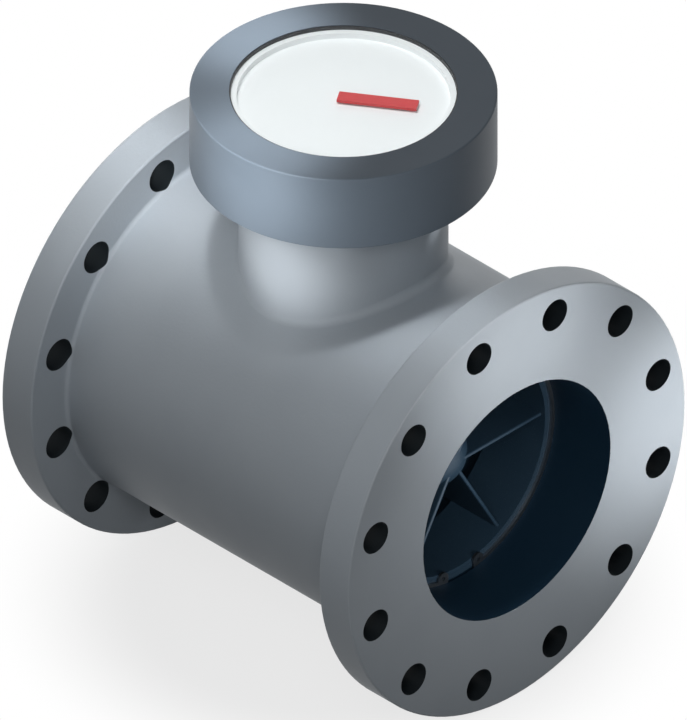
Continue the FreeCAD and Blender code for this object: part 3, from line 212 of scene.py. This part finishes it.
# Casting: ductile iron, sand cast, machined at the flanges and bore, coated with grey epoxy
# powder that was fused on hot. The coat softens the sand's texture and dulls the shine.
castingLook = {
    "paint": "#b2bac1",
    "paintShade": "#a8b0b8",
    "lining": "#1a3246",       # dark epoxy in the water's way
    "liningShade": "#20384a",
    # painted shade: the bolt holes' walls are coloured near black
    "paintedHoleShade": "#242a2e",
    "holeEdgeMm": 0.06,        # so that the wall's own facets count as hole
    "edgeWear": "#b9c0c6",     # thinner coat along the rims
    "wearRimMm": 0.9,
    "wearFaceMm": 1.0,
    "wearPatchMm": 7.0,
    "patchMm": 60.0,
    "ior": 1.52,
    "specular": 0.12,          # a matt powder's pits lose most of its shine
    "roughness": 0.46,
    "roughnessWidth": 0.10,
    "liningFromMm": 0.3,       # the lining starts this far behind each flange's face
    "liningOutMm": 33.0,       # and ends inside the barrel's wall, this far out from the bore
    "faceDepthMm": 0.4,
    "flangeDepthMm": 36.0,     # how far in from each face the bolt holes run
    "sandGrainMm": 2.2,        # real moulding sand is 0.3 mm, drawn coarser so that it shows
    "sandDepthMm": 0.10,
    "swellMm": 26.0,           # slow waves of a sand-cast skin
    "swellDepthMm": 0.25,
    "turnedMm": 1.6,           # a facing cut of 0.8 mm a turn, drawn twice as coarse
    "turnedDepthMm": 0.03,
}


def makeCastingFinish(look):
    # epoxy powder on sand-cast iron, with masks worked out from the pipe's own sizes
    material, tree, shader, place = startMaterial("epoxyPowderOnCastIron", {
        "IOR": look["ior"],
        "Specular IOR Level": look["specular"],
    })
    x, y, z = addNode(tree, "SeparateXYZ", None, None, {0: place}).outputs
    halfLength = pipeLength / 2
    pipeR = distance(tree, y, z)
    fromMiddle = calc(tree, "ABSOLUTE", calc(tree, "SUBTRACT", x, halfLength * mm))

    # water's way: inside the barrel's wall, behind the flange faces
    behindFace = calc(tree, "LESS_THAN", fromMiddle, (halfLength - look["liningFromMm"]) * mm)
    inside = calc(tree, "LESS_THAN", pipeR, (portRadius + look["liningOutMm"]) * mm)
    lined = calc(tree, "MULTIPLY", behindFace, inside)

    # bolt holes, whose walls get painted shade: the angle is folded into one hole's sector, then measured
    # from its centre
    sector = 2 * math.pi / boltCount
    angle = calc(tree, "ARCTAN2", y, z)
    folded = calc(tree, "SUBTRACT", calc(tree, "FLOORED_MODULO", angle, sector), sector / 2)
    outSpoke = calc(tree, "MULTIPLY", pipeR, calc(tree, "COSINE", folded))
    alongSpoke = calc(tree, "SUBTRACT", outSpoke, boltCircle * mm)
    acrossSpoke = calc(tree, "MULTIPLY", pipeR, calc(tree, "SINE", folded))
    offCentre = distance(tree, alongSpoke, acrossSpoke)
    nearCentre = calc(tree, "LESS_THAN", offCentre, (boltHole + look["holeEdgeMm"]) * mm)
    inFlange = calc(tree, "GREATER_THAN", fromMiddle, (halfLength - look["flangeDepthMm"]) * mm)
    holeShadeMask = calc(tree, "MULTIPLY", nearCentre, inFlange)

    # machined faces at both ends
    onFace = calc(tree, "GREATER_THAN", fromMiddle, (halfLength - look["faceDepthMm"]) * mm)

    patches = noiseMm(tree, place, look["patchMm"], detail=3.0)
    paint = blendColours(tree, patches, look["paint"], look["paintShade"])
    rim = calc(tree, "GREATER_THAN", pipeR, (flangeRadius - look["wearRimMm"]) * mm)
    corner = calc(tree, "GREATER_THAN", fromMiddle, (halfLength - look["wearFaceMm"]) * mm)
    wear = noiseMm(tree, place, look["wearPatchMm"])
    worn = calc(tree, "MULTIPLY", calc(tree, "MULTIPLY", rim, corner), wear)
    paint = blendColours(tree, worn, paint, look["edgeWear"])
    lining = blendColours(tree, patches, look["lining"], look["liningShade"])
    colour = blendColours(tree, lined, paint, lining)
    # painted shade: near black inside the bolt holes
    colour = blendColours(tree, holeShadeMask, colour, look["paintedHoleShade"])

    sand = noiseMm(tree, place, look["sandGrainMm"])
    sandHere = calc(tree, "MULTIPLY", sand, calc(tree, "SUBTRACT", 1.0, onFace))
    swell = noiseMm(tree, place, look["swellMm"], detail=1.0)
    normal = bumpOf(tree, swell, look["swellDepthMm"])
    normal = bumpOf(tree, sandHere, look["sandDepthMm"], normal)
    outward = addNode(tree, "CombineXYZ", None, None, {0: pipeR}).outputs[0]
    marks = noiseMm(tree, outward, look["turnedMm"], detail=1.0)
    normal = bumpOf(tree, calc(tree, "MULTIPLY", marks, onFace), look["turnedDepthMm"], normal)

    roughness = spread(tree, patches, look["roughness"], look["roughnessWidth"])
    finishShader(tree, shader, colour, roughness, normal)
    return material


castingPaint = makeCastingFinish(castingLook)

# Head: die-cast aluminium under a blue-grey powder coat, sprayed and baked, with a fine orange peel
shroudPaint = makeFinish("powderCoatOnAluminium", {
    "colour": "#6b7681",
    "secondColour": "#646f7a",
    "patchMm": 45.0,
    "grainMm": 1.6,            # orange peel of a sprayed powder, real size
    "grainDepthMm": 0.035,
    "ior": 1.5,
    "roughness": 0.42,
    "roughnessWidth": 0.08,
    "extra": {"Specular IOR Level": 0.12},
})

# Insert and rotor: glass-filled nylon, injection moulded, dull with a faint flow pattern
insertNylon = makeFinish("mouldedGlassFilledNylon", {
    "colour": "#22384a",
    "secondColour": "#2a4152",
    "patchMm": 30.0,
    "fleckColour": "#45596b",
    "fleckMm": 0.9,
    "fleckShare": 0.66,
    "fleckStrength": 0.35,
    "grainMm": 0.9,
    "grainDepthMm": 0.03,
    "ior": 1.53,
    "roughness": 0.48,
    "roughnessWidth": 0.12,
})
rotorPlastic = makeFinish("mouldedPolypropylene", {
    "colour": "#233c52",
    "secondColour": "#2b445b",
    "patchMm": 22.0,
    "grainMm": 1.2,
    "grainDepthMm": 0.02,
    "ior": 1.49,
    "roughness": 0.40,
    "roughnessWidth": 0.10,
})

# Steel: spring strip for the snap rings, ground bar for shafts, turned bar for screws and bolts
springSteel = makeFinish("stampedSpringSteel", {
    "colour": "#8f959a",
    "secondColour": "#7b8187",
    "patchMm": 12.0,
    "grainMm": 0.6,
    "grainDepthMm": 0.01,
    "metallic": 1.0,
    "roughness": 0.38,
    "roughnessWidth": 0.12,
    "lathe": ("X", (0, 0, 0)),
    "markMm": 0.7,             # rolling marks of the strip, bent round with it
    "markDepthMm": 0.01,
})
groundSteel = makeFinish("groundStainlessBar", {
    "colour": "#c3c5c4",
    "secondColour": "#a9acac",
    "patchMm": 10.0,
    "grainMm": 0.4,
    "grainDepthMm": 0.004,
    "metallic": 1.0,
    "roughness": 0.24,
    "roughnessWidth": 0.10,
    "lathe": ("Z", (neckX, 0, 0)),
    "markMm": 0.5,
    "markDepthMm": 0.005,
})
shaftSteel = makeFinish("groundStainlessShaft", {
    "colour": "#c3c5c4",
    "secondColour": "#a9acac",
    "patchMm": 10.0,
    "grainMm": 0.4,
    "grainDepthMm": 0.004,
    "metallic": 1.0,
    "roughness": 0.22,
    "roughnessWidth": 0.10,
    "lathe": ("X", (0, 0, 0)),
    "markMm": 0.5,
    "markDepthMm": 0.005,
})
screwSteel = makeFinish("coldHeadedStainlessScrew", {
    "colour": "#b5b8b9",
    "secondColour": "#9da1a3",
    "patchMm": 5.0,
    "grainMm": 0.5,
    "grainDepthMm": 0.01,
    "metallic": 1.0,
    "roughness": 0.32,
    "roughnessWidth": 0.12,
})

# Copper alloys: gunmetal cover turned all over, cut brass worm, oiled sintered bushes, rolled sheet
gunmetal = makeFinish("turnedGunmetal", {
    "colour": "#b58f5c",
    "secondColour": "#9c7748",
    "patchMm": 24.0,
    "grainMm": 0.8,
    "grainDepthMm": 0.012,
    "metallic": 1.0,
    "roughness": 0.36,
    "roughnessWidth": 0.12,
    "lathe": ("Z", (neckX, 0, 0)),
    "markMm": 0.9,             # turning marks of 0.3 mm, drawn three times as coarse
    "markDepthMm": 0.015,
})
cutBrass = makeFinish("cutBrass", {
    "colour": "#d0ab62",
    "secondColour": "#b9914c",
    "patchMm": 6.0,
    "grainMm": 0.3,
    "grainDepthMm": 0.005,
    "metallic": 1.0,
    "roughness": 0.26,
    "roughnessWidth": 0.10,
})
sinteredBronze = makeFinish("oiledSinteredBronze", {
    "colour": "#8d7348",
    "secondColour": "#6f5936",
    "patchMm": 2.0,
    "grainMm": 0.35,           # open pores between the pressed grains
    "grainDepthMm": 0.04,
    "metallic": 1.0,
    "roughness": 0.50,
    "roughnessWidth": 0.16,
})
rolledBrass = makeFinish("rolledBrassSheet", {
    "colour": "#c8ad76",
    "secondColour": "#b4975f",
    "patchMm": 18.0,
    "grainMm": 0.6,
    "grainDepthMm": 0.006,
    "metallic": 1.0,
    "roughness": 0.30,
    "roughnessWidth": 0.10,
})
turnedAluminium = makeFinish("turnedAluminium", {
    "colour": "#b0b4b7",
    "secondColour": "#9a9ea2",
    "patchMm": 20.0,
    "grainMm": 0.8,
    "grainDepthMm": 0.008,
    "metallic": 1.0,
    "roughness": 0.34,
    "roughnessWidth": 0.12,
    "lathe": ("Z", (neckX, 0, 0)),
    "markMm": 0.8,
    "markDepthMm": 0.012,
})

# Gears: acetal, injection moulded, ivory and slightly waxy
acetal = makeFinish("mouldedAcetal", {
    "colour": "#ece7d8",
    "secondColour": "#e2dccb",
    "patchMm": 9.0,
    "grainMm": 0.7,
    "grainDepthMm": 0.006,
    "ior": 1.48,
    "roughness": 0.30,
    "roughnessWidth": 0.08,
    "extra": {"Subsurface Weight": 0.08, "Subsurface Radius": (0.002, 0.0018, 0.0014)},
})
ferrite = makeFinish("groundSinteredFerrite", {
    "colour": "#3b3c3f",
    "secondColour": "#2d2e31",
    "patchMm": 3.0,
    "grainMm": 0.4,
    "grainDepthMm": 0.015,
    "ior": 2.2,
    "roughness": 0.42,
    "roughnessWidth": 0.14,
})
nitrile = makeFinish("mouldedNitrileRubber", {
    "colour": "#17191c",
    "secondColour": "#1f2226",
    "patchMm": 8.0,
    "grainMm": 0.5,
    "grainDepthMm": 0.015,
    "ior": 1.52,
    "roughness": 0.55,
    "roughnessWidth": 0.12,
})
skivedPtfe = makeFinish("skivedPtfe", {
    "colour": "#e6e4dd",
    "secondColour": "#dad7cd",
    "patchMm": 10.0,
    "grainMm": 0.9,
    "grainDepthMm": 0.012,
    "ior": 1.35,
    "roughness": 0.42,
    "roughnessWidth": 0.08,
    "lathe": ("Z", (neckX, 0, 0)),
    "markMm": 1.0,
    "markDepthMm": 0.01,
    "markTint": 0.1,
})

# Dial and pointer: stoved enamel on pressed sheet, smooth with a very slight waviness
dialEnamel = makeFinish("whiteStovedEnamel", {
    "colour": "#f4f6f7",
    "secondColour": "#f0f2f3",
    "patchMm": 40.0,
    "grainMm": 1.4,
    "grainDepthMm": 0.008,
    "ior": 1.5,
    "roughness": 0.36,
    "roughnessWidth": 0.06,
})
pointerEnamel = makeFinish("signalRedEnamel", {
    "colour": "#cb262b",
    "secondColour": "#c32328",
    "patchMm": 12.0,
    "grainMm": 1.0,
    "grainDepthMm": 0.008,
    "ior": 1.5,
    "roughness": 0.34,
    "roughnessWidth": 0.06,
})


# Window: flat toughened glass with a hard clear face: what lies behind shows through it unchanged, and
# its gloss is mixed in by angle, as glass does it
windowLook = {
    "gloss": "#f6f9fa",
    "roughness": 0.02,
    "roughnessWidth": 0.02,
    "dustMm": 14.0,
    "ior": 1.5,
    "glossShare": 0.35,        # an anti-glare face sends back about a third of what plain glass does
    "clear": "#fcfdfd",
    "clearanceMm": 0.05,       # to the seal and to the dial's flange
    "segments": 180,
}


def makeWindowGlass(look):
    material, tree, shader, place = startMaterial("toughenedFloatGlass", {
        "Base Color": hexLinear(look["gloss"]),
        "Metallic": 1.0,
    })
    dust = noiseMm(tree, place, look["dustMm"], detail=3.0)
    roughness = spread(tree, dust, look["roughness"], look["roughnessWidth"])
    tree.links.new(roughness, shader.inputs["Roughness"])
    clear = addNode(tree, "BsdfTransparent", None, {0: hexLinear(look["clear"])})
    # only the outer face shines: a Transparent shader doesn't bend the ray, so at the inner face the
    # angle would be past that of total reflection
    byAngle = addNode(tree, "Fresnel", None, {"IOR": look["ior"]}).outputs[0]
    outerFace = calc(tree, "SUBTRACT", 1.0, addNode(tree, "NewGeometry").outputs["Backfacing"])
    share = calc(tree, "MULTIPLY", calc(tree, "MULTIPLY", byAngle, outerFace), look["glossShare"])
    mix = addNode(tree, "MixShader", None, None, {0: share, 1: clear.outputs[0], 2: shader.outputs[0]})
    output = next(node for node in tree.nodes if node.type == "OUTPUT_MATERIAL")
    tree.links.new(mix.outputs[0], output.inputs[0])
    return material


windowGlass = makeWindowGlass(windowLook)

print("dressing the pieces")
dress(["body_casting"], castingPaint)
dress(["head_shroud"], shroudPaint)
dress(["measuring_sleeve", "flow_straightener", "rear_support", "gear_case_lid"], insertNylon)
dress(["rotor"], rotorPlastic)
dress(["inlet_snap_ring", "outlet_snap_ring"], springSteel)
dress(["rotor_shaft"], shaftSteel)
dress(["spindle", "spindle_tube", "driver_shaft", "follower_arbor", "first_arbor", "second_arbor",
       "pointer_arbor", "pillar_rods"], groundSteel)
dress(["bracket_screws", "cover_bolts", "swivel_screws", "head_lock_screw", "cock_screw"], screwSteel)
dress(["cover_plate", "transmission_bracket"], gunmetal)
dress(["worm"], cutBrass)
dress(["front_bearing", "rear_bearing", "spindle_foot_bearing", "spindle_top_bearing"], sinteredBronze)
dress(["train_plate", "train_pillars", "centre_cock"], rolledBrass)
dress(["register_base", "swivel_ring"], turnedAluminium)
dress(["worm_wheel", "spindle_change_gear", "driver_change_gear", "driver_magnet_carrier",
       "follower_pinion", "first_wheel", "second_wheel", "pointer_wheel"], acetal)
dress(["driver_magnet", "follower_magnet"], ferrite)
dress(["inlet_sleeve_seal", "outlet_sleeve_seal", "cover_seal", "window_seal"], nitrile)
dress(["glide_ring"], skivedPtfe)
dress(["dial_pan"], dialEnamel)
dress(["pointer"], pointerEnamel)
dress(["window_glass"], windowGlass)


def makeClearWindow(look):
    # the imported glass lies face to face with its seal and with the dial's flange, where a ray takes
    # either face, so the glass that shows stands a hair clear of both; it is the line (0, bottom),
    # (r, bottom), (r, top), (0, top) turned about the neck: x = neckX + r cos a, y = r sin a
    low, high = cornersMm("window_glass")
    count = look["segments"]
    radius = (high[0] - low[0]) / 2 - look["clearanceMm"]
    bottom = low[2] + look["clearanceMm"]
    top = high[2]
    angles = np.arange(count) * 2 * math.pi / count
    circle = np.column_stack([neckX + radius * np.cos(angles), radius * np.sin(angles)])
    points = np.vstack([
        np.hstack([circle, np.full((count, 1), bottom)]),
        np.hstack([circle, np.full((count, 1), top)]),
        [[neckX, 0, bottom], [neckX, 0, top]],
    ])
    first = np.arange(count)
    after = np.roll(first, -1)
    under = np.column_stack([after, first, np.full(count, 2 * count)])
    over = np.column_stack([first + count, after + count, np.full(count, 2 * count + 1)])
    side = np.column_stack([first, after, after + count, first + count])
    data = bpy.data.meshes.new("clear_window")
    data.from_pydata((points * mm).tolist(), [], under.tolist() + over.tolist() + side.tolist())
    data.materials.append(windowGlass)
    window = bpy.data.objects.new("clear_window", data)
    bpy.context.scene.collection.objects.link(window)
    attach(window, "head")
    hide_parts("window_glass")
    return window


makeClearWindow(windowLook)

# Studio: a white surround, and a floor that the camera sees white but that throws little light back up
studioLook = {
    "floorColour": "#f2f2f2",
    "floorBounce": "#5c5f62",  # what the object gets from below, as from a grey table
    "shadowShare": 0.25,       # how dark the shadow shows at its strongest
    "shadowFromMm": 140.0,     # full strength to here from the object's middle
    "shadowToMm": 260.0,       # gone by here, so the picture's corners are plain white
    "floorSizeM": 12.0,
    "floorDropMm": 0.3,        # clear of the flanges' lowest line
    "roomLight": 0.15,
    "roomLean": (-0.03, -0.03, 0.03),  # lighter towards the left, as the picture sees it, and above
}


def seenDirectly(tree):
    # 1 for rays from the camera, through glass and off a shine
    path = addNode(tree, "LightPath").outputs
    straight = calc(tree, "MAXIMUM", path["Is Camera Ray"], path["Is Transmission Ray"])
    return calc(tree, "MAXIMUM", straight, path["Is Glossy Ray"])


def makeFloor(look):
    half = look["floorSizeM"] / 2
    height = (castingLow[2] - look["floorDropMm"]) * mm
    grid = np.array([[-half, -half], [half, -half], [half, half], [-half, half]])
    points = np.column_stack([grid, np.full(4, height)])
    data = bpy.data.meshes.new("floor")
    data.from_pydata(points.tolist(), [], [(0, 1, 2, 3)])
    floor = bpy.data.objects.new("floor", data)
    bpy.context.scene.collection.objects.link(floor)
    material = bpy.data.materials.new("paleFloor")
    material.use_nodes = True
    tree = material.node_tree
    tree.nodes.clear()
    place = addNode(tree, "TexCoord").outputs["Object"]
    middle = (neckX * mm, 0, height)
    fromMiddle = addNode(tree, "VectorMath", {"operation": "DISTANCE"}, {1: middle}, {0: place})
    reach = addNode(tree, "MapRange", {"interpolation_type": "SMOOTHSTEP"}, {
        "From Min": look["shadowFromMm"] * mm,
        "From Max": look["shadowToMm"] * mm,
        "To Min": look["shadowShare"],
        "To Max": 0.0,
    }, {"Value": fromMiddle.outputs["Value"]}).outputs[0]
    lit = addNode(tree, "BsdfDiffuse", None, {0: hexLinear(look["floorColour"])})
    plain = addNode(tree, "Emission", None, {0: (1, 1, 1, 1), 1: 1.0})
    seen = addNode(tree, "MixShader", None, None, {0: reach, 1: plain.outputs[0], 2: lit.outputs[0]})
    bounce = addNode(tree, "BsdfDiffuse", None, {0: hexLinear(look["floorBounce"])})
    straight = seenDirectly(tree)
    chosen = addNode(tree, "MixShader", None, None, {0: straight, 1: bounce.outputs[0], 2: seen.outputs[0]})
    output = addNode(tree, "OutputMaterial")
    tree.links.new(chosen.outputs[0], output.inputs[0])
    data.materials.append(material)
    return floor


def makeWorld(look):
    # a dim room, a little lighter to the left and above; the camera sees plain white
    world = bpy.data.worlds.new("softRoom")
    world.use_nodes = True
    tree = world.node_tree
    tree.nodes.clear()
    direction = addNode(tree, "TexCoord").outputs["Generated"]
    lean = addNode(tree, "VectorMath", {"operation": "DOT_PRODUCT"}, {1: look["roomLean"]}, {0: direction})
    strength = calc(tree, "ADD", lean.outputs["Value"], look["roomLight"])
    room = addNode(tree, "Background", None, {0: (1, 1, 1, 1)}, {1: strength})
    white = addNode(tree, "Background", None, {0: (1, 1, 1, 1), 1: 1.0})
    straight = seenDirectly(tree)
    chosen = addNode(tree, "MixShader", None, None, {0: straight, 1: room.outputs[0], 2: white.outputs[0]})
    output = addNode(tree, "OutputWorld")
    tree.links.new(chosen.outputs[0], output.inputs[0])
    bpy.context.scene.world = world


# Lamps: soft boxes, and spots that shade each round piece from light to dark as the drawing does
litGroups = {
    "casting": ("body_casting",),
    "head": ("head_shroud",),
    "dial": ("dial_pan", "pointer", "window_seal"),
    "insert": ("measuring_sleeve", "rear_support", "rotor", "outlet_snap_ring"),
    "bore": ("body_casting", "measuring_sleeve", "rear_support", "rotor", "outlet_snap_ring"),
}


def collect(name, nodeNames):
    # a collection of some of the pieces, for a lamp to name
    group = bpy.data.collections.new(name)
    for nodeName in nodeNames:
        group.objects.link(nodes[nodeName])
    return group


def makeLamp(name, look):
    # a soft box, with a grid on its front where it has a spread, or a spot whose beam makes a soft pool
    # poolMm across at its target; onlyOn keeps its light on these pieces and noShadow lets it past all
    # others, as flags on stands would
    light = bpy.data.lights.new(name, "SPOT" if "poolMm" in look else "AREA")
    place = Vector(look["place"])
    target = Vector(look["target"])
    if "poolMm" in look:
        light.shadow_soft_size = look["sizeM"] / 2
        light.spot_size = 2 * math.atan(look["poolMm"] * mm / 2 / (target - place).length)
        light.spot_blend = 1.0
    else:
        light.shape = "RECTANGLE"
        light.size = look["sizeM"]
        light.size_y = look.get("widthM", look["sizeM"])
        light.spread = math.radians(look.get("spreadDeg", 180))
    light.energy = look["watts"]
    lamp = bpy.data.objects.new(name, light)
    bpy.context.scene.collection.objects.link(lamp)
    if "onlyOn" in look:
        lit = collect(name + "Lit", litGroups[look["onlyOn"]])
        lamp.light_linking.receiver_collection = lit
        if look.get("noShadow"):
            lamp.light_linking.blocker_collection = lit
    lamp.location = place
    lamp.rotation_euler = (target - place).to_track_quat("-Z", "Y").to_euler()
    return lamp


lampLooks = {
    # soft boxes: two over the pipe, one beside the camera, one behind for the far sides
    "keyTop": {"place": (0.17, -0.26, 1.5), "target": (0.17, 0, 0.05), "sizeM": 0.3, "watts": 3.3,
               "onlyOn": "casting", "noShadow": True},
    "topStrip": {"place": (0.175, -0.16, 1.05), "target": (0.175, -0.035, 0.14), "sizeM": 0.5,
                 "widthM": 0.05, "spreadDeg": 8, "watts": 0.05, "onlyOn": "casting", "noShadow": True},
    "cameraSide": {"place": (1.0, -1.0, 1.0), "target": (0.17, 0, 0.05), "sizeM": 0.5, "watts": 4.4},
    "rearFill": {"place": (-1.1, 1.2, 0.25), "target": (0.17, 0, 0.05), "sizeM": 0.8, "watts": 9.0},
    # the neck: a bright band left of its middle
    "neckBand": {"place": (0.47, -1.45, 0.17), "target": (0.188, -0.07, 0.155), "sizeM": 0.05,
                 "poolMm": 110, "watts": 64.0, "onlyOn": "casting"},
    "neckLeft": {"place": (-0.1, -1.45, 0.20), "target": (0.15, -0.07, 0.165), "sizeM": 0.05,
                 "poolMm": 160, "watts": 20.0, "onlyOn": "casting"},
    # the near face: bright towards its upper right, from low down so that none passes over the flange
    "faceTop": {"place": (0.95, 0.1, -0.12), "target": (0.35, 0.0, 0.15), "sizeM": 0.1,
                "poolMm": 240, "watts": 15.0, "onlyOn": "casting"},
    "faceRight": {"place": (1.0, 0.5, -0.05), "target": (0.35, 0.16, 0), "sizeM": 0.1,
                  "poolMm": 240, "watts": 26.0, "onlyOn": "casting"},
    "faceWide": {"place": (1.1, 0.2, -0.12), "target": (0.35, 0.06, 0.06), "sizeM": 0.1,
                 "poolMm": 600, "watts": 4.2, "onlyOn": "casting"},
    # the far flange: bright at its top
    "farTop": {"place": (0.9, -1.1, 0.9), "target": (0.03, -0.06, 0.17), "sizeM": 0.1,
               "poolMm": 220, "watts": 60.0, "onlyOn": "casting", "noShadow": True},
    "farWide": {"place": (1.0, -1.2, 0.7), "target": (0.03, -0.10, 0.12), "sizeM": 0.1,
                "poolMm": 320, "watts": 7.0, "onlyOn": "casting", "noShadow": True},
    # the head: a band on its side and a lighter left half of its top
    "headBand": {"place": (0.51, -1.60, 0.24), "target": (0.199, -0.107, 0.24), "sizeM": 0.05,
                 "poolMm": 120, "watts": 50.0, "onlyOn": "head"},
    "headWide": {"place": (0.45, -1.60, 0.24), "target": (0.175, 0, 0.24), "sizeM": 0.1,
                 "poolMm": 300, "watts": 65.0, "onlyOn": "head"},
    "ringFront": {"place": (0.35, -0.70, 1.3), "target": (0.183, -0.096, 0.27), "sizeM": 0.05,
                  "poolMm": 140, "watts": 95.0, "onlyOn": "head"},
    "ringBack": {"place": (-0.2, 0.10, 1.4), "target": (0.079, 0.008, 0.27), "sizeM": 0.05,
                 "poolMm": 140, "watts": 90.0, "onlyOn": "head"},
    "ringLeft": {"place": (-0.1, -0.35, 1.4), "target": (0.107, -0.068, 0.27), "sizeM": 0.08,
                 "poolMm": 240, "watts": 35.0, "onlyOn": "head"},
    # the dial, evenly, and the bore with its insert, faintly and more on its left
    "dialSoft": {"place": (0.05, -0.25, 1.4), "target": (0.175, 0, 0.27), "sizeM": 0.6, "watts": 11.5,
                 "onlyOn": "dial"},
    "boreWide": {"place": (1.5, -0.2, 0.3), "target": (0.25, 0, 0), "sizeM": 0.1,
                 "poolMm": 280, "watts": 48.0, "onlyOn": "insert"},
    "boreLeft": {"place": (1.5, 0.5, 0.15), "target": (0.30, -0.085, 0.03), "sizeM": 0.1,
                 "poolMm": 120, "watts": 12.0, "onlyOn": "bore"},
}

print("setting the studio")
makeFloor(studioLook)
makeWorld(studioLook)
for lampName, lampLook in lampLooks.items():
    makeLamp(lampName, lampLook)
bpy.context.scene.view_settings.view_transform = "Standard"

# Camera: the drawing is isometric, so the lens is parallel and looks along equal angles to the axes
cameraLook = {
    "azimuthDeg": 45.0,
    "elevationDeg": 35.264,
    "mmPerPixel": 0.7135,
    "imageHeightPixels": 720,
    "aimHeightMm": 35.0,       # the picture's middle lies this far over the pipe's axis
    "distanceM": 3.0,
}


def makeCamera(look):
    azimuth = math.radians(look["azimuthDeg"])
    elevation = math.radians(look["elevationDeg"])
    away = Vector((
        math.sin(azimuth) * math.cos(elevation),
        -math.cos(azimuth) * math.cos(elevation),
        math.sin(elevation),
    ))
    aim = Vector((neckX * mm, 0, look["aimHeightMm"] * mm))
    data = bpy.data.cameras.new("camera")
    data.type = "ORTHO"
    data.sensor_fit = "VERTICAL"
    data.ortho_scale = look["mmPerPixel"] * look["imageHeightPixels"] * mm
    camera = bpy.data.objects.new("camera", data)
    bpy.context.scene.collection.objects.link(camera)
    camera.location = aim + away * look["distanceM"]
    camera.rotation_euler = (-away).to_track_quat("-Z", "Y").to_euler()
    bpy.context.scene.camera = camera


makeCamera(cameraLook)
